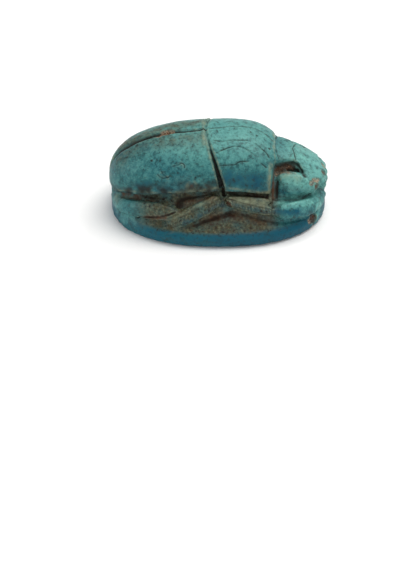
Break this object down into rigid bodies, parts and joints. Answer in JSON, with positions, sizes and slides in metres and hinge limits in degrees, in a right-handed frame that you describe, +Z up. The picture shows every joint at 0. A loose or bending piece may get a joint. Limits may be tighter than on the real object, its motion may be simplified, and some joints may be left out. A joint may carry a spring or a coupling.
{
  "type": "scarab amulet",
  "caption": "Beetle-shaped amulet carved in one with its oval plinth, in blue-green glazed ware, pierced lengthwise, with a sunk design underneath.",
  "frame": {"origin": "middle of the flat underside, under the middle of the bounding box", "axes": "+X towards the beetle's head, along its length; +Z up from the underside"},
  "size_m": [0.02, 0.014, 0.0086],
  "materials": {
    "glazed_ware": "worn matt blue-green glaze with brown earth in the carved lines and pale worn edges"
  },
  "bodies": {
    "root": {"scarab_amulet": "glazed_ware"}
  },
  "joints": []
}
